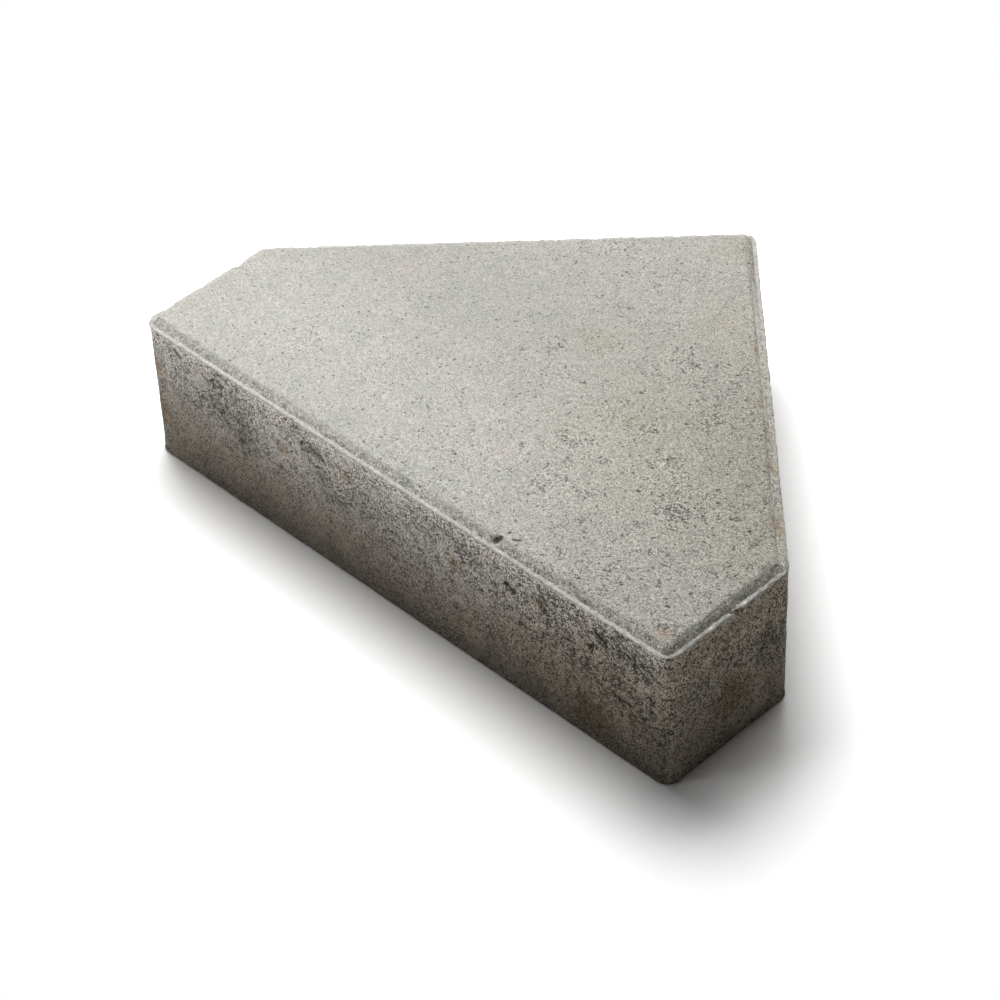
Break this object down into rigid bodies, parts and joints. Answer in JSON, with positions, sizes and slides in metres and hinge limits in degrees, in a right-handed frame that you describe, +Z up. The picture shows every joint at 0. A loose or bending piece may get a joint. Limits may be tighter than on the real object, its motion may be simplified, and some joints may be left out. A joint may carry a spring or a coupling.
{
  "type": "concrete paving stone",
  "caption": "Pressed concrete paving stone with a square-gabled plan, upright sides and a lipped, bevelled arris; closes the straight edge of paving laid on the diagonal.",
  "frame": {"origin": "on the bed face, under the centre of the plan's bounding box", "axes": "+X along the long side, +Y from the long side to the apex, +Z up out of the wearing face"},
  "size_m": [0.292, 0.2105, 0.07],
  "materials": {
    "concrete": "matt grey cast concrete: sandy wearing face, rough open-pored sides"
  },
  "bodies": {
    "root": {"paving_stone": "concrete"}
  },
  "joints": []
}
